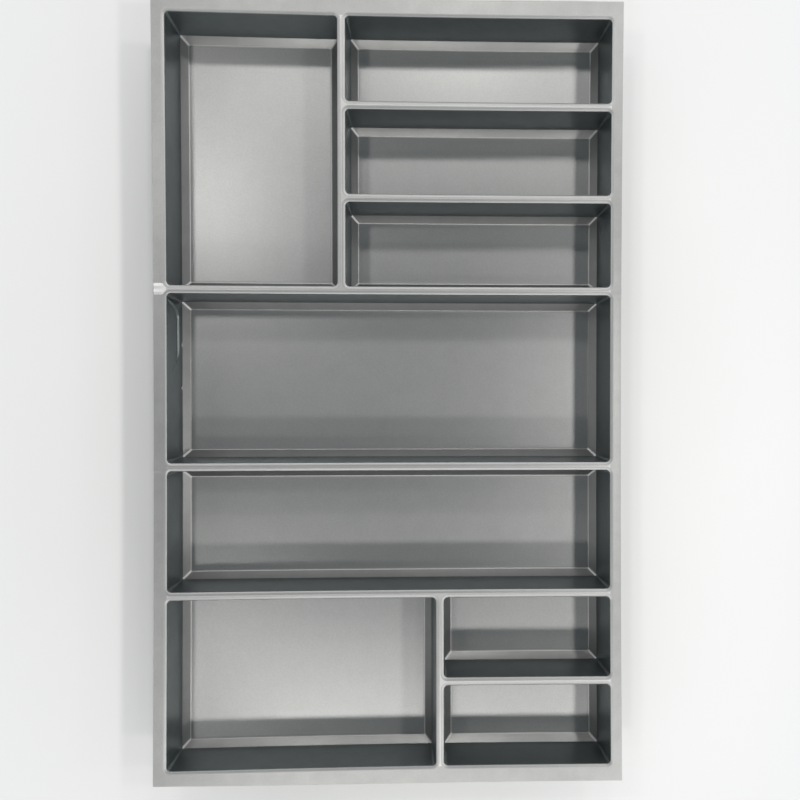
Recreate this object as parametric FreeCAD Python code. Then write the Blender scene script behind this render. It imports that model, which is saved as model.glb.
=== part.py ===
import FreeCAD, Part
import math
import os

# Cutlery tray for a kitchen drawer: one formed plastic sheet with a flat rim, hollow dividers
# and nine wells. The deck is the flat top of the sheet, with its rim, dividers and rolled lips.
# Every well is the drawn part of the sheet below one mouth, and meets the deck face to face.
# Millimetres. Seen from above, +X is right and +Y is up the page. The origin is under the middle
# of the tray, on the plane that it rests on.

# Mouths of the wells, from wall line to wall line at the top of the rim
long_well = 279.4
short_well = 176.4
cutlery_width = 87.7
small_width = 84.2
tool_width = 175.2
server_width = 125.1

# Flat material between the mouths and around them
divider = 8.7
rim_left = 13.65
rim_right = 11.85
rim_top = 18.4
rim_bottom = 17.6

# Section of a well, seen from the inside: drafted wall, bevel, floor
well_depth = 50.2
wall_draft = 3.5
bevel_run = 7.7
bevel_rise = 6.3
corner_radius = 2.5
base_radius = 3.0

# The sheet: its gauge in the flat deck and once drawn into a well, and the straight land below a lip
deck_gauge = 2.0
wall_gauge = 1.2
lip_land = 0.15

# How far a cutting shape runs past the face that it cuts, and when two heights are the same
overshoot = 2.0
same_height = 1e-4

Vector = FreeCAD.Vector

cutlery_names = ("knife_well", "fork_well", "spoon_well")
small_names = ("teaspoon_well", "small_well")


def stack_depth(count, width):
    """Extent along Y of wells of one width with a divider between each two."""
    return count * width + (count - 1) * divider


upper_block = stack_depth(len(cutlery_names), cutlery_width)
lower_block = stack_depth(len(small_names), small_width)
rows = (upper_block, tool_width, server_width, lower_block)

tray_width = rim_left + short_well + divider + long_well + rim_right
tray_length = rim_top + sum(rows) + (len(rows) - 1) * divider + rim_bottom
tray_height = well_depth + wall_gauge
join_height = tray_height - deck_gauge
lip_radius = deck_gauge - lip_land
draft_angle = math.radians(wall_draft)
bevel_angle = math.atan2(bevel_rise, bevel_run)


def stack(names, width, top, west, east):
    """Mouths of wells of one width, one below another, as name: (west, east, south, north)."""
    mouths = {}
    for name in names:
        mouths[name] = (west, east, top - width, top)
        top -= width + divider
    return mouths


def place_wells():
    """Mouths of all nine wells."""
    west = rim_left - tray_width / 2
    east = tray_width / 2 - rim_right
    upper_top = tray_length / 2 - rim_top
    tool_top = upper_top - upper_block - divider
    server_top = tool_top - tool_width - divider
    lower_top = server_top - server_width - divider
    mouths = stack(["utensil_well"], upper_block, upper_top, west, west + short_well)
    mouths.update(stack(cutlery_names, cutlery_width, upper_top, east - long_well, east))
    mouths.update(stack(["tool_well"], tool_width, tool_top, west, east))
    mouths.update(stack(["server_well"], server_width, server_top, west, east))
    mouths.update(stack(["gadget_well"], lower_block, lower_top, west, west + long_well))
    mouths.update(stack(small_names, small_width, lower_top, east - short_well, east))
    return mouths


def wall_inset(depth, gauge):
    """How far a wall stands inside the mouth's line at a depth, on a face moved out by gauge."""
    return depth * math.tan(draft_angle) - gauge / math.cos(draft_angle)


def bevel_inset(depth, gauge):
    """The same for the bevel between wall and floor."""
    foot_depth = well_depth - bevel_rise
    run = (depth - foot_depth) / math.tan(bevel_angle)
    return wall_inset(foot_depth, 0.0) + run - gauge / math.sin(bevel_angle)


def rectangle(mouth, inset, depth):
    """Corners of a mouth drawn in by inset, at a depth below the top of the rim."""
    west, east, south, north = mouth
    height = tray_height - depth
    across = (west + inset, east - inset)
    along = (south + inset, north - inset)
    order = ((0, 0), (1, 0), (1, 1), (0, 1))
    return [Vector(across[i], along[j], height) for i, j in order]


def frustum(upper, lower):
    """Solid between two rectangles."""
    faces = [Part.Face(Part.makePolygon(ring + ring[:1])) for ring in (upper, lower)]
    for i, corner in enumerate(upper):
        following = (i + 1) % len(upper)
        side = [corner, upper[following], lower[following], lower[i], corner]
        faces.append(Part.Face(Part.makePolygon(side)))
    return Part.Solid(Part.Shell(faces))


def slanting_edges(solid):
    """Edges whose two ends are at different heights."""
    return [edge for edge in solid.Edges if abs(edge.Vertexes[0].Z - edge.Vertexes[1].Z) > same_height]


def edges_at(shape, height):
    """Edges that lie wholly at one height."""
    return [edge for edge in shape.Edges if all(abs(v.Z - height) < same_height for v in edge.Vertexes)]


def well_form(mouth, gauge):
    """Walls and bevelled base of a well as two solids, on its inner face or that moved out by gauge."""
    above = -overshoot
    floor = well_depth + gauge
    below = floor + overshoot
    walls = frustum(
        rectangle(mouth, wall_inset(above, gauge), above),
        rectangle(mouth, wall_inset(below, gauge), below),
    )
    base = frustum(
        rectangle(mouth, bevel_inset(above, gauge), above),
        rectangle(mouth, bevel_inset(floor, gauge), floor),
    )
    return walls.makeFillet(corner_radius + gauge, slanting_edges(walls)), base


def make_cavity(mouth):
    """Space inside a well, with the bevel's mitres and the floor's edges rounded."""
    walls, base = well_form(mouth, 0.0)
    soft_edges = slanting_edges(base) + edges_at(base, tray_height - well_depth)
    return walls.common(base.makeFillet(base_radius, soft_edges))


def make_casing(mouth):
    """Space inside the outer face of a well."""
    walls, base = well_form(mouth, wall_gauge)
    return walls.common(base)


def make_deck(cavities):
    """Flat rim and dividers, with a rolled lip round the mouth of each well."""
    corner = Vector(-tray_width / 2, -tray_length / 2, join_height)
    sheet = Part.makeBox(tray_width, tray_length, deck_gauge, corner).cut(cavities)
    lips = [edge for edge in edges_at(sheet, tray_height) if is_inside(edge)]
    return sheet.makeFillet(lip_radius, lips)


def is_inside(edge):
    """Whether an edge lies inside the tray's outline, not on it."""
    middle = edge.CenterOfMass
    return abs(middle.x) < tray_width / 2 - same_height and abs(middle.y) < tray_length / 2 - same_height


def make_well(mouth, cavity):
    """One well below the deck: walls, bevel and floor of the drawn sheet."""
    shell = make_casing(mouth).cut(cavity)
    corner = Vector(-tray_width / 2, -tray_length / 2, 0)
    below_deck = Part.makeBox(tray_width, tray_length, join_height, corner)
    return shell.common(below_deck)


def main():
    mouths = place_wells()
    cavities = {name: make_cavity(mouth) for name, mouth in mouths.items()}
    nodes = {"deck": make_deck(list(cavities.values()))}
    for name, mouth in mouths.items():
        nodes[name] = make_well(mouth, cavities[name])
    os.makedirs("parts", exist_ok=True)
    for name, shape in nodes.items():
        shape.exportStep(f"parts/{name}.step")


main()
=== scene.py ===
from collections import namedtuple
import math

import bmesh
import bpy
from mathutils import Matrix, Vector, noise


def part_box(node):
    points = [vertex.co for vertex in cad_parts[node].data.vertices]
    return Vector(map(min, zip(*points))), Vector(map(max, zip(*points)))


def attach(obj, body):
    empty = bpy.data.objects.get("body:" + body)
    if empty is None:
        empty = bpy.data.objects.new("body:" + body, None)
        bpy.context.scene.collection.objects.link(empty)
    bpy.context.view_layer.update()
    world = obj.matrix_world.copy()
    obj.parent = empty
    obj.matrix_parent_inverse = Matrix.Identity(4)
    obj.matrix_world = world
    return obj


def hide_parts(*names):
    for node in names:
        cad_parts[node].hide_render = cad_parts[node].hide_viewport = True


# Cutlery tray for a kitchen drawer: one formed sheet of silver-grey plastic with nine wells.
# The deck and the wells are drawn here as fine meshes with the sheet's roundings and unevenness.
# Metres. Seen from above, +X is right and +Y is up the page, and the tray rests on z = 0.

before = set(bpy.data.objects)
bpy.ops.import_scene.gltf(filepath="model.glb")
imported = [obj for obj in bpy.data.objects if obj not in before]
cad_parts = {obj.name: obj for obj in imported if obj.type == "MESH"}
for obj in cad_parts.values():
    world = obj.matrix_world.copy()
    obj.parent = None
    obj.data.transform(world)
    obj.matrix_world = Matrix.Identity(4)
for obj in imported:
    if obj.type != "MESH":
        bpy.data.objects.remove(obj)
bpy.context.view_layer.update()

mm = 0.001
well_names = (
    "utensil_well", "knife_well", "fork_well", "spoon_well", "tool_well",
    "server_well", "gadget_well", "teaspoon_well", "small_well",
)

# Section of a well: drafted wall, bevel and floor, and the gauge of the drawn sheet
wall_gauge = 1.2 * mm
wall_draft = math.radians(3.5)
bevel_run = 7.7 * mm
bevel_rise = 6.3 * mm

# Rounding of the section: lip that rolls off gently before it turns down, foot of the wall, edge of the
# floor, root of a well under the deck, trimmed edge of the rim, and the flat left beside trim and lip
lip_run = 2.1 * mm
lip_fall = 1.25 * mm
roll_radius = 6.4 * mm
lip_radius = 1.2 * mm
foot_radius = 1.0 * mm
floor_radius = 2.0 * mm
root_radius = 0.8 * mm
trim_radius = 0.3 * mm
flat_margin = 0.4 * mm
lip_margin = 0.1 * mm

# Rounding in plan: the corner of a mouth sharpens on the way down, as far as the mitre of the bevel
mouth_radius = 4.2 * mm
mitre_radius = 1.6 * mm
rim_corner_radius = 0.8 * mm
rim_least_radius = 0.4 * mm

# Fineness of the meshes: steps in a rounding, the longest steps across a floor and along a side near a
# bead, and the even bands that cover the rim, with how far from a bead and from the edge these go
arc_steps = 6
corner_steps = 8
floor_step = 10.0 * mm
bead_step = 0.7 * mm
bead_reach = 9.0 * mm
rim_bands = 6
rim_reach = 7.4 * mm

# Longest steps along a side, down a wall and down its outside, finer in the well with the buckled wall
Steps = namedtuple("Steps", "side wall casing")
plain_steps = Steps(6.0 * mm, 6.0 * mm, 6.0 * mm)
buckled_steps = Steps(1.2 * mm, 0.4 * mm, 1.6 * mm)
buckled_well = "tool_well"

# Lines of a rectangle in plan
Outline = namedtuple("Outline", "west east south north")

deck_low, deck_high = (Vector(corner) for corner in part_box("deck"))
rim_height = deck_high.z
join_depth = deck_high.z - deck_low.z
floor_depth = rim_height - wall_gauge
tray = Outline(deck_low.x, deck_high.x, deck_low.y, deck_high.y)


def pairs(items):
    """Neighbours in a closed row."""
    return zip(items, items[1:] + items[:1])


def wall_inset(depth):
    """How far the inside of a wall stands inside the mouth's line at a depth."""
    return depth * math.tan(wall_draft)


def mouth_of(name):
    """Outline of a well's mouth, from the box of its solid."""
    low, high = (Vector(corner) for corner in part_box(name))
    shrink = wall_gauge / math.cos(wall_draft) - wall_inset(join_depth)
    return Outline(low.x + shrink, high.x - shrink, low.y + shrink, high.y - shrink)


def steps_of(name):
    """Longest steps in the mesh of a well."""
    return buckled_steps if name == buckled_well else plain_steps


# Section lines, as points of inset and depth


def arc(before, corner, after, radius):
    """Points of the rounding of one corner of a section."""
    back = (before - corner).normalized()
    ahead = (after - corner).normalized()
    half = back.angle(ahead) / 2
    centre = corner + (back + ahead).normalized() * radius / math.sin(half)
    start = (corner + back * radius / math.tan(half) - centre).normalized()
    end = (corner + ahead * radius / math.tan(half) - centre).normalized()
    return [centre + start.slerp(end, i / arc_steps) * radius for i in range(arc_steps + 1)]


def rounded(corners, radii):
    """Section line through corners, with each inner corner rounded by its radius."""
    path = [corners[0]]
    for before, corner, after, radius in zip(corners, corners[1:], corners[2:], radii):
        path.extend(arc(before, corner, after, radius))
    path.append(corners[-1])
    return path


def divided(path, longest):
    """The same line with no step longer than a length."""
    points = [path[0]]
    for start, end in zip(path, path[1:]):
        count = math.ceil((end - start).length / longest)
        points.extend(start.lerp(end, (i + 1) / count) for i in range(count))
    return points


def outside_of(path):
    """The line on the other face of the drawn sheet."""
    points = []
    for i, point in enumerate(path):
        ahead = (path[min(i + 1, len(path) - 1)] - path[max(i - 1, 0)]).normalized()
        points.append(point + Vector((-ahead.y, ahead.x)) * wall_gauge)
    return points


join = Vector((wall_inset(join_depth), join_depth))
foot_depth = floor_depth - bevel_rise
foot = Vector((wall_inset(foot_depth), foot_depth))
floor_edge = foot + Vector((bevel_run, bevel_rise))
floor_start = floor_edge + Vector((floor_radius, 0))
lip_corner = Vector((wall_inset(lip_fall), lip_fall))
roll_corner = lip_corner - Vector((lip_run, lip_fall))
roll_reach = roll_radius * math.tan(math.atan2(lip_fall, lip_run) / 2)
lip_start = roll_corner - Vector((roll_reach + lip_margin, 0))

lip_section = rounded([lip_start, roll_corner, lip_corner, join], [roll_radius, lip_radius])
trim_section = rounded(
    [
        Vector((trim_radius + flat_margin, 0)), Vector((0, 0)),
        Vector((0, join_depth)), Vector((trim_radius + flat_margin, join_depth)),
    ],
    [trim_radius, trim_radius],
)


def well_section(step):
    """Inside of a well, from below its lip to the flat of the floor."""
    return divided(rounded([join, foot, floor_edge, floor_start], [foot_radius, floor_radius]), step)


def casing_section(step):
    """Outside of a well, from the root under the deck to the flat of the base."""
    outside = outside_of(well_section(step))
    root = Vector((wall_inset(join_depth) - wall_gauge / math.cos(wall_draft), join_depth))
    under_deck = root - Vector((root_radius * 2, 0))
    return arc(under_deck, root, outside[1], root_radius) + outside[2:]


# Outlines in plan

# Middle lines of the dividers that run out over the rim, and the field that the mouths take up
tool_mouth = mouth_of(buckled_well)
upper_divider = (tool_mouth.north + mouth_of("spoon_well").south) / 2
middle_divider = (tool_mouth.south + mouth_of("server_well").north) / 2
bead_places = (upper_divider, middle_divider)
field_south = mouth_of("gadget_well").south
field_north = mouth_of("utensil_well").north
field = Outline(tool_mouth.west, tool_mouth.east, field_south, field_north)


def even_stops(low, high, step):
    """Places between two ends at even steps, without the ends."""
    count = math.ceil((high - low) / step)
    return [low + (high - low) * i / count for i in range(1, count)]


def side_stops(outline, step):
    """Shares of the sides that run in X and in Y at which their points lie, closer together at a bead."""
    west, east, south, north = outline
    across = even_stops(west, east, plain_steps.side)
    along = even_stops(south, north, step)
    for place in bead_places:
        low, high = max(place - bead_reach, south), min(place + bead_reach, north)
        if low < high:
            along = [y for y in along if not low <= y <= high] + even_stops(low, high, bead_step)
    shares_across = [(x - west) / (east - west) for x in across]
    shares_along = [(y - south) / (north - south) for y in sorted(along)]
    return shares_across, shares_along


def ring(outline, point, stops, corner_radius, least_radius):
    """Points round an outline drawn in by the inset of a section's point, at its depth."""
    inset, depth = point
    west, east, south, north = outline
    radius = max(corner_radius - inset, least_radius)
    margin = inset + radius
    centres = (
        (east - margin, north - margin), (west + margin, north - margin),
        (west + margin, south + margin), (east - margin, south + margin),
    )
    height = rim_height - depth
    bends = []
    for i, (x, y) in enumerate(centres):
        angles = [math.pi / 2 * (i + j / corner_steps) for j in range(corner_steps + 1)]
        bends.append([Vector((x + radius * math.cos(a), y + radius * math.sin(a), height)) for a in angles])
    across, along = stops
    sides = ([1 - s for s in reversed(across)], [1 - s for s in reversed(along)], across, along)
    points = []
    for shares, (bend, following) in zip(sides, pairs(bends)):
        points.extend(bend)
        points.extend(bend[-1].lerp(following[0], share) for share in shares)
    return points


def well_ring(mouth, point, stops):
    """Ring of a well or its lip."""
    return ring(mouth, point, stops, mouth_radius, mitre_radius)


def rim_ring(point, stops):
    """Ring of the tray's outer edge or its rim."""
    return ring(tray, point, stops, rim_corner_radius, rim_least_radius)


def corner_places(stops):
    """Places in a ring of the faces that make up its four corners."""
    across, along = stops
    places = set()
    start = 0
    for shares in (across, along, across, along):
        places.update(range(start, start + corner_steps))
        start += corner_steps + 1 + len(shares)
    return places


# Unevenness of the formed sheet

# How far the sides and ends are drawn in, slow waves of rim and floors, sag of the long sides, and how
# far the lower edge is trimmed back at its left end
side_bow = 1.9 * mm
end_bow = 1.6 * mm
wave_length = 110 * mm
wave_depth = 0.25 * mm
wave_seed = 0.0
floor_wave = 0.25 * mm
floor_seed = 7.0
floor_zone = 12 * mm
rim_sag = 0.7 * mm
sag_width = 14 * mm
trim_skew = 2.6 * mm

# Beads where a divider lifts the rim: side of the tray, place along it, share of the sag that it takes
# out. A bead with more than the highlight share gets a painted highlight, a near-white tone, over its top.
beads = ((-1, upper_divider, 1.0), (-1, middle_divider, 0.5), (1, upper_divider, 0.4))
highlight_share = 0.8
bead_half_width = 3.4 * mm
bead_slope = 2.6 * mm
bead_valley = 0.25 * mm

# Buckle in the left wall of the tool well, with a narrow ledge along its fold: where it starts below
# the well's upper line, turns along the wall, turns back and ends, how deep the fold lies and climbs
# again, and the ledge's width, drop and share of the entry in which it reaches that width
buckle_start = 4 * mm
buckle_turn = 22 * mm
buckle_return = 58 * mm
buckle_end = 88 * mm
buckle_depth = 30 * mm
buckle_climb = 13 * mm
ledge_width = 2.2 * mm
ledge_drop = 1.4 * mm
ledge_entry = 0.25

# Nicks at the foot of that wall: places below the well's upper line, and their size
nick_places = (50 * mm, 97 * mm)
nick_height = 1.2 * mm
nick_radius = 3.0 * mm
nick_depth = 1.8 * mm


def smooth(value):
    """Smooth rise from 0 to 1."""
    share = min(max(value, 0.0), 1.0)
    return share * share * (3 - 2 * share)


def wave(point, seed):
    """Slow unevenness between 0 and 1."""
    return 0.5 + 0.5 * noise.noise(Vector((point.x / wave_length, point.y / wave_length, seed)))


def sag(point):
    """How far the rim hangs down at a point of the long sides, less at a bead, which has two crests."""
    side = -1 if point.x < 0 else 1
    edge = tray.west if side < 0 else tray.east
    along = point.y / tray.north
    fall = rim_sag * (1 - along * along) ** 2
    for bead_side, place, share in beads:
        off = abs(point.y - place)
        if bead_side == side and off < bead_half_width + bead_slope:
            held = 1 - smooth((off - bead_half_width) / bead_slope)
            valley = bead_valley * (1 + math.cos(math.pi * min(off / bead_half_width, 1.0))) / 2
            fall -= share * (fall * held - valley)
    return fall * smooth(1 - abs(edge - point.x) / sag_width)


def on_bead(point):
    """Whether a point of the rim lies on a bead that is high enough to carry the painted highlight."""
    for side, place, share in beads:
        outside = side * point.x > side * mouth_side(side)
        if share > highlight_share and outside and abs(point.y - place) < bead_half_width + bead_slope:
            return True
    return False


def mouth_side(side):
    """Place of the mouths' line along one long side of the tray."""
    return tool_mouth.west if side < 0 else tool_mouth.east


def ledge_at(point):
    """Depth of the buckle's fold and width of its ledge, at the place of a point along the wall."""
    below = tool_mouth.north - point.y
    if not buckle_start < below < buckle_end:
        return 0.0, 0.0
    entry = min((below - buckle_start) / (buckle_turn - buckle_start), 1.0)
    retreat = smooth((below - buckle_return) / (buckle_end - buckle_return))
    fold = buckle_depth * math.sin(math.pi / 2 * entry) - buckle_climb * retreat
    return fold, ledge_width * smooth(entry / ledge_entry) * (1 - retreat)


def buckle(point):
    """How far the left wall of the tool well is pushed inward at a point."""
    depth = rim_height - point.z
    fold, width = ledge_at(point)
    if depth > foot_depth:
        return 0.0
    if depth < fold:
        return width * smooth(1 - (fold - depth) / ledge_drop)
    return width * (foot_depth - depth) / (foot_depth - fold)


def on_ledge(point):
    """Whether a point of the left wall of the tool well lies on the buckle's ledge."""
    fold, width = ledge_at(point)
    return width > 0 and fold - ledge_drop < rim_height - point.z < fold and is_left_wall(point)


def is_left_wall(point):
    """Whether a point lies at the left wall of the tool well."""
    return point.x < tool_mouth.west + floor_edge.x and tool_mouth.south < point.y < tool_mouth.north


def nick(point):
    """How far that wall is pushed out at a point just above its foot."""
    above = point.z - (rim_height - foot_depth)
    if above < 0:
        return 0.0
    out = 0.0
    for place in nick_places:
        along = point.y - (tool_mouth.north - place)
        out += nick_depth * (1 - smooth(math.hypot(along, above - nick_height) / nick_radius))
    return out


def bow(point):
    """How far the sides of the tray are drawn in at a point, most in the middle of each."""
    across = point.x / tray.east
    along = point.y / tray.north
    return Vector((-side_bow * across * (1 - along * along), -end_bow * along * (1 - across * across), 0))


def skew(point):
    """How far the lower edge is trimmed back at a point of the rim, more and more towards its left end."""
    if point.x > 0:
        return 0.0
    off = point.x / tray.west
    return trim_skew * off * off * smooth((field.south - point.y) / (field.south - tray.south))


def settled(point):
    """Where a point of the true form lies on the uneven sheet, always inside its box."""
    share = point.z / rim_height
    lowered = share * share * (wave_depth * wave(point, wave_seed) + sag(point))
    raised = floor_wave * wave(point, floor_seed) * (1 - smooth(point.z / floor_zone))
    pushed = 0.0
    if is_left_wall(point):
        pushed = buckle(point) - nick(point)
    return point + bow(point) + Vector((pushed, skew(point), raised - lowered))


# Meshes


def top_finish(point):
    """Finish of the flat top at a point: painted highlight on a bead, crest with painted sheen between
    wells, else the plain rim.
    """
    if on_bead(point):
        return "bead_highlight"
    west, east, south, north = field
    return "crest" if west < point.x < east and south < point.y < north else "flat"


def add_ring(bm, points):
    """Vertices at the points of a ring."""
    return [bm.verts.new(point) for point in points]


def add_band(bm, first, second, finish):
    """Faces between two rings with the same number of points."""
    faces = [bm.faces.new((a, b, d, c)) for (a, b), (c, d) in zip(pairs(first), pairs(second))]
    for face in faces:
        set_finish(face, finish)
    return faces


def add_bands(bm, rings, band_finishes):
    """Bands between rings in a row, each with the finish at its place in a list."""
    rows = zip(rings, rings[1:], band_finishes)
    return [add_band(bm, first, second, finish) for first, second, finish in rows]


def set_finish(face, finish):
    """Give a face a finish by its name."""
    face.material_index = finish_order.index(finish)


def fill(bm, rings):
    """Triangles between an outer ring and the holes in it."""
    edges = [bm.edges.get(pair) for verts in rings for pair in pairs(verts)]
    made = bmesh.ops.triangle_fill(bm, use_beauty=True, use_dissolve=False, edges=edges)
    return [item for item in made["geom"] if isinstance(item, bmesh.types.BMFace)]


def crease(bm, verts):
    """A sharp line along a ring."""
    for pair in pairs(verts):
        bm.edges.get(pair).smooth = False


def finish_piece(bm, name, node, materials):
    """Turn a mesh into a piece that stands for a node of the tray."""
    bmesh.ops.recalc_face_normals(bm, faces=bm.faces)
    for vert in bm.verts:
        vert.co = settled(vert.co)
    used = sorted({face.material_index for face in bm.faces})
    for face in bm.faces:
        face.smooth = True
        face.material_index = used.index(face.material_index)
    mesh = bpy.data.meshes.new(name)
    bm.to_mesh(mesh)
    bm.free()
    for index in used:
        mesh.materials.append(materials[index])
    piece = bpy.data.objects.new(name, mesh)
    bpy.context.scene.collection.objects.link(piece)
    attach(piece, "root")
    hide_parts(node)


def make_deck(materials):
    """Flat rim and dividers, with the rolled lip of every well and the trimmed edge."""
    bm = bmesh.new()
    stops = side_stops(tray, plain_steps.side)
    edge = [add_ring(bm, rim_ring(point, stops)) for point in trim_section]
    add_bands(bm, edge, ["cut"] * (len(edge) - 1))
    start = trim_section[0].x
    insets = [start + (rim_reach - start) * (i + 1) / rim_bands for i in range(rim_bands)]
    rim = [edge[0]] + [add_ring(bm, rim_ring(Vector((inset, 0)), stops)) for inset in insets]
    top = [face for band in add_bands(bm, rim, ["flat"] * rim_bands) for face in band]
    lips = []
    for name in well_names:
        mouth = mouth_of(name)
        stops = side_stops(mouth, steps_of(name).side)
        lip = [add_ring(bm, well_ring(mouth, point, stops)) for point in lip_section]
        turn_bands = arc_steps + 1
        # The lips' finish is a little paler than the flat, which paints light over the shade of their roll;
        # the turn takes the walls' finish.
        add_bands(bm, lip, ["lip"] * (len(lip) - 1 - turn_bands) + ["wall"] * turn_bands)
        lips.append(lip)
    for face in fill(bm, [edge[-1]] + [lip[-1] for lip in lips]):
        set_finish(face, "cut")
    for face in top + fill(bm, [rim[-1]] + [lip[0] for lip in lips]):
        set_finish(face, top_finish(face.calc_center_median()))
    for lip in lips:
        crease(bm, lip[-1])
    finish_piece(bm, "deck_sheet", "deck", materials)


def floor_insets(mouth, start):
    """Insets of the rings that cover a floor, from its edge to near its middle line."""
    last = min(mouth.east - mouth.west, mouth.north - mouth.south) / 2 - mitre_radius * 2
    count = math.ceil((last - start) / floor_step)
    return [start + (last - start) * (i + 1) / count for i in range(count)]


def paint_mitre_highlights(bands, stops):
    """Give the corners of the bevel the lips' finish, whose paler tone paints a highlight along the mitres.
    """
    corners = corner_places(stops)
    for band in bands:
        for place in corners:
            set_finish(band[place], "lip")


def mark_ledge(bands):
    """Give the faces of the buckle's ledge their own finish."""
    for band in bands:
        for face in band:
            if on_ledge(face.calc_center_median()):
                set_finish(face, "ledge")


def add_shell(bm, name, section, stops):
    """Inside or outside of a well, with wall, bevel and whole floor. Returns the ring at its top."""
    mouth = mouth_of(name)
    flat = section[-1]
    insets = floor_insets(mouth, flat.x)
    rows = section + [Vector((inset, flat.y)) for inset in insets]
    rings = [add_ring(bm, well_ring(mouth, point, stops)) for point in rows]
    wall_bands = sum(point.y < foot_depth for point in section) - 1
    edge_bands = arc_steps + 1
    bevel_bands = len(section) - 1 - edge_bands - wall_bands
    # The floors' edges and the bevel's mitres take the lips' finish, paler than the bevel's, which paints a
    # highlight along them.
    band_finishes = ["wall"] * wall_bands + ["bevel"] * bevel_bands + ["lip"] * edge_bands
    bands = add_bands(bm, rings, band_finishes + ["floor"] * len(insets))
    paint_mitre_highlights(bands[wall_bands:wall_bands + bevel_bands], stops)
    if name == buckled_well:
        mark_ledge(bands[:wall_bands])
    set_finish(bm.faces.new(rings[-1]), "floor")
    return rings[0]


def make_well(name, materials):
    """One well: drafted walls, bevel and grained floor, with the sheet's gauge all round."""
    bm = bmesh.new()
    steps = steps_of(name)
    stops = side_stops(mouth_of(name), steps.side)
    inner = add_shell(bm, name, well_section(steps.wall), stops)
    outer = add_shell(bm, name, casing_section(steps.casing), stops)
    add_band(bm, inner, outer, "wall")
    crease(bm, inner)
    crease(bm, outer)
    finish_piece(bm, name + "_sheet", name, materials)


# Materials

# Finishes of the sheet: more matte where it stayed flat; darker and cooler on the drawn walls and dark on
# the bevels, a tone that paints in part of the shade and the cool reflected light inside the wells;
# glossier on the bevels; dullest on the lips and the floors' edges, whose paler tone paints light over the
# shade of the lips' roll and a highlight along the floors' edges and the mitres; paler on the crests
# between the wells, a painted sheen;
# near white where a bead bends it, a painted highlight. Fleck and smudge are how far the grain and faint
# clouds change the tone.
Finish = namedtuple("Finish", "tone tint metal roughness grain_size grain_height fleck smudge")
neutral = (1.0, 1.0, 1.0)
# Cool tint of the walls: painted cool light reflected from the surroundings.
cool = (0.88, 1.0, 1.03)
finishes = {
    "flat": Finish(0.44, neutral, 0.6, 0.46, 1.4 * mm, 0.03 * mm, 0.016, 0.020),
    "cut": Finish(0.44, neutral, 0.6, 0.46, 0.6 * mm, 0.08 * mm, 0.036, 0.016),
    "lip": Finish(0.48, neutral, 0.85, 0.50, 1.2 * mm, 0.02 * mm, 0.018, 0.008),
    "crest": Finish(0.65, neutral, 0.9, 0.46, 1.2 * mm, 0.02 * mm, 0.022, 0.016),
    "bead_highlight": Finish(0.86, neutral, 0.6, 0.46, 0.9 * mm, 0.02 * mm, 0.030, 0.016),
    "wall": Finish(0.17, cool, 0.86, 0.42, 0.9 * mm, 0.01 * mm, 0.010, 0.008),
    "ledge": Finish(0.17, cool, 0.86, 0.34, 0.9 * mm, 0.01 * mm, 0.010, 0.008),
    "bevel": Finish(0.205, neutral, 0.65, 0.30, 0.9 * mm, 0.01 * mm, 0.010, 0.010),
    "floor": Finish(0.535, neutral, 0.82, 0.41, 1.8 * mm, 0.05 * mm, 0.024, 0.007),
}
finish_order = list(finishes)
smudge_size = 16 * mm
gloss_size = 25 * mm
gloss_depth = 0.006
grain_detail = 2.0
smudge_detail = 3.0
noise_range = (0.3, 0.7)


def shader_tree(name):
    """New node material: its tree and its principled shader."""
    material = bpy.data.materials.new(name)
    material.use_nodes = True
    return material, material.node_tree, material.node_tree.nodes["Principled BSDF"]


def noise_at(tree, size, detail):
    """Noise texture with features of about one size, in the tray's own coordinates."""
    place = tree.nodes.new("ShaderNodeTexCoord")
    texture = tree.nodes.new("ShaderNodeTexNoise")
    texture.inputs["Scale"].default_value = 1 / size
    texture.inputs["Detail"].default_value = detail
    tree.links.new(place.outputs["Object"], texture.inputs["Vector"])
    return texture.outputs["Fac"]


def carried(tree, value, source, target):
    """A value carried over from one range to another."""
    node = tree.nodes.new("ShaderNodeMapRange")
    node.inputs["From Min"].default_value, node.inputs["From Max"].default_value = source
    node.inputs["To Min"].default_value, node.inputs["To Max"].default_value = target
    tree.links.new(value, node.inputs["Value"])
    return node.outputs["Result"]


def spread(tree, value, low, high):
    """A noise value carried over to a range."""
    return carried(tree, value, noise_range, (low, high))


def scaled(tree, value, share):
    """A value times a share."""
    node = tree.nodes.new("ShaderNodeMath")
    node.operation = "MULTIPLY"
    node.inputs[1].default_value = share
    tree.links.new(value, node.inputs[0])
    return node.outputs[0]


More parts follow.
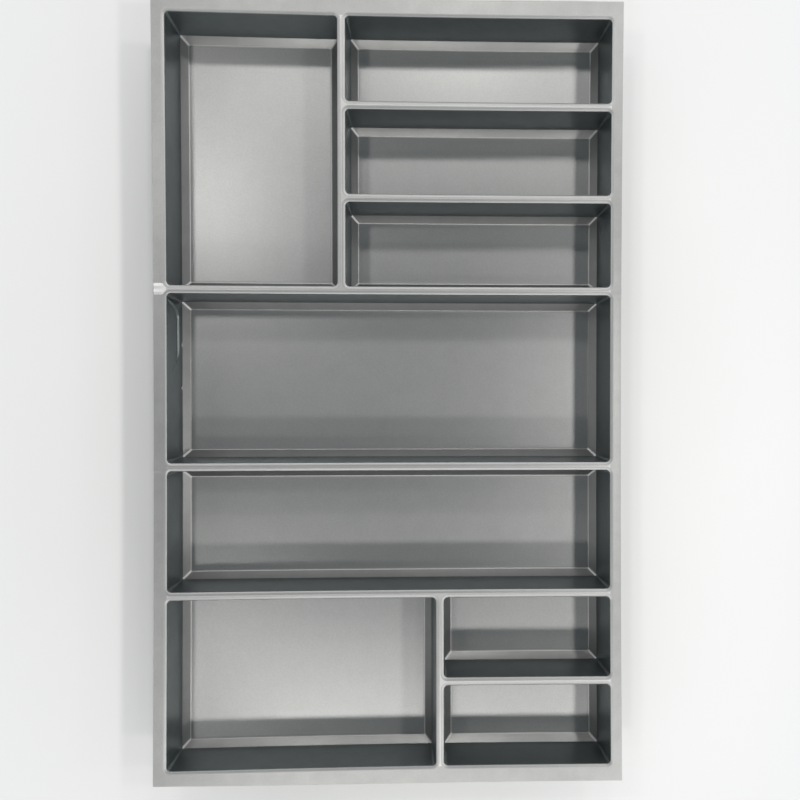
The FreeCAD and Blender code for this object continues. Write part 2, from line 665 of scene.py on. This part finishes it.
def silver_plastic(name):
    """Metallic-grey plastic: fine flecks and faint smudges in the colour, uneven gloss, a moulded grain."""
    finish = finishes[name]
    material, tree, shader = shader_tree("silver_" + name)
    shader.inputs["Metallic"].default_value = finish.metal
    grain = noise_at(tree, finish.grain_size, grain_detail)
    flecks = spread(tree, grain, finish.tone - finish.fleck, finish.tone + finish.fleck)
    clouds = noise_at(tree, smudge_size, smudge_detail)
    smudges = spread(tree, clouds, -finish.smudge, finish.smudge)
    total = tree.nodes.new("ShaderNodeMath")
    total.operation = "ADD"
    tree.links.new(flecks, total.inputs[0])
    tree.links.new(smudges, total.inputs[1])
    colour = tree.nodes.new("ShaderNodeCombineColor")
    for channel, share in zip(("Red", "Green", "Blue"), finish.tint):
        tree.links.new(scaled(tree, total.outputs[0], share), colour.inputs[channel])
    tree.links.new(colour.outputs["Color"], shader.inputs["Base Color"])
    low, high = finish.roughness - gloss_depth, finish.roughness + gloss_depth
    gloss = spread(tree, noise_at(tree, gloss_size, smudge_detail), low, high)
    tree.links.new(gloss, shader.inputs["Roughness"])
    bump = tree.nodes.new("ShaderNodeBump")
    bump.inputs["Distance"].default_value = finish.grain_height
    tree.links.new(grain, bump.inputs["Height"])
    tree.links.new(bump.outputs["Normal"], shader.inputs["Normal"])
    return material


# Stage: table, lamps, surroundings and camera

# Table: its size, tones, unevenness and roughness, and where it fades out, as a multiple of the tray's
# half width and length
table_size = 4.0
table_tones = (0.92, 0.95)
table_grain = 300 * mm
table_roughness = 0.6
table_fade = (1.2, 2.6)

# Colour of the surroundings by the sine of the height above the horizon
room_shades = (
    (0.30, (0.90, 0.91, 0.92)), (0.40, (0.56, 0.57, 0.57)),
    (0.70, (0.56, 0.57, 0.57)), (0.80, (0.045, 0.06, 0.07)),
)

# Ceiling lamps in lines round the tray: place of each line, then places along it and powers
lamp_height = 1.06
lamp_size = 0.12
lamp_colour = (1.0, 0.99, 0.95)
lamps_across = {
    1.04: ((-0.33, 1.2), (0.18, 1.95)),
    -1.04: ((-0.28, 1.75), (0.11, 1.45), (0.45, 0.55), (0.79, 2.5)),
}
lamps_along = {
    -0.53: ((-0.60, 0.6), (0.49, 1.3)),
    0.80: ((-0.35, 1.2), (0.08, 1.9), (0.95, 2.5)),
    1.70: ((-0.3, 1.45),),
}


def pale_table():
    """Plain pale table top that fades into the surroundings some way from the tray."""
    material, tree, shader = shader_tree("pale_table")
    shader.inputs["Roughness"].default_value = table_roughness
    tone = spread(tree, noise_at(tree, table_grain, grain_detail), *table_tones)
    tree.links.new(tone, shader.inputs["Base Color"])
    place = tree.nodes.new("ShaderNodeTexCoord")
    share = tree.nodes.new("ShaderNodeMapping")
    share.inputs["Scale"].default_value = (1 / tray.east, 1 / tray.north, 1)
    distance = tree.nodes.new("ShaderNodeVectorMath")
    distance.operation = "LENGTH"
    tree.links.new(place.outputs["Object"], share.inputs["Vector"])
    tree.links.new(share.outputs["Vector"], distance.inputs[0])
    fading = carried(tree, distance.outputs["Value"], table_fade, (1, 0))
    tree.links.new(fading, shader.inputs["Alpha"])
    return material


def make_table():
    """Table top that the tray stands on."""
    mesh = bpy.data.meshes.new("table_top")
    bm = bmesh.new()
    bmesh.ops.create_grid(bm, x_segments=1, y_segments=1, size=table_size / 2)
    bm.to_mesh(mesh)
    bm.free()
    mesh.materials.append(pale_table())
    table = bpy.data.objects.new("table_top", mesh)
    bpy.context.scene.collection.objects.link(table)


def facing(direction):
    """Rotation of a lamp or camera that looks along a direction, with +Y up in its view."""
    back = -direction.normalized()
    right = Vector((0, 1, 0)).cross(back).normalized()
    return Matrix((right, back.cross(right), back)).transposed().to_euler()


def make_lamp(x, y, power):
    """Ceiling lamp that faces the middle of the tray."""
    light = bpy.data.lights.new("lamp", "AREA")
    light.shape = "DISK"
    light.size = lamp_size
    light.color = lamp_colour
    light.energy = power
    lamp = bpy.data.objects.new("lamp", light)
    lamp.location = (x, y, lamp_height)
    lamp.rotation_euler = facing(Vector((-x, -y, -lamp_height)))
    lamp.visible_camera = False
    bpy.context.scene.collection.objects.link(lamp)


def make_room():
    """Surroundings: pale round the horizon, dim and cool overhead."""
    world = bpy.data.worlds.new("room")
    world.use_nodes = True
    tree = world.node_tree
    place = tree.nodes.new("ShaderNodeTexCoord")
    split = tree.nodes.new("ShaderNodeSeparateXYZ")
    shade = tree.nodes.new("ShaderNodeValToRGB")
    tree.links.new(place.outputs["Generated"], split.inputs["Vector"])
    tree.links.new(split.outputs["Z"], shade.inputs["Fac"])
    tree.links.new(shade.outputs["Color"], tree.nodes["Background"].inputs["Color"])
    stops = shade.color_ramp.elements
    while len(stops) < len(room_shades):
        stops.new(1.0)
    for stop, (height, colour) in zip(stops, room_shades):
        stop.position = height
        stop.color = (*colour, 1)
    bpy.context.scene.world = world


# Camera of the photograph, in its frame of 800 by 800 pixels: focal length, and where the axis meets
# the picture, in pixels; width of the camera's sensor in millimetres
photo_size = 800
sensor_width = 36.0
focal_pixels = 707.9
axis_x = 428.9
axis_y = 405.9
camera_place = Vector((14.3 * mm, -7.5 * mm, rim_height + 737.5 * mm))
camera_target = Vector((40.5 * mm, -13.7 * mm, rim_height))


def make_camera():
    """Camera that sees the tray as the photograph does."""
    data = bpy.data.cameras.new("photo_camera")
    data.sensor_width = sensor_width
    data.lens = focal_pixels * sensor_width / photo_size
    data.shift_x = (photo_size / 2 - axis_x) / photo_size
    data.shift_y = (axis_y - photo_size / 2) / photo_size
    camera = bpy.data.objects.new("photo_camera", data)
    camera.location = camera_place
    camera.rotation_euler = facing(camera_target - camera_place)
    bpy.context.scene.collection.objects.link(camera)
    bpy.context.scene.camera = camera


def main():
    """Tray, table, lamps, surroundings and camera."""
    materials = [silver_plastic(name) for name in finish_order]
    make_deck(materials)
    for name in well_names:
        make_well(name, materials)
    make_table()
    for y, places in lamps_across.items():
        for x, power in places:
            make_lamp(x, y, power)
    for x, places in lamps_along.items():
        for y, power in places:
            make_lamp(x, y, power)
    make_room()
    make_camera()
    bpy.context.scene.view_settings.view_transform = "Standard"


main()
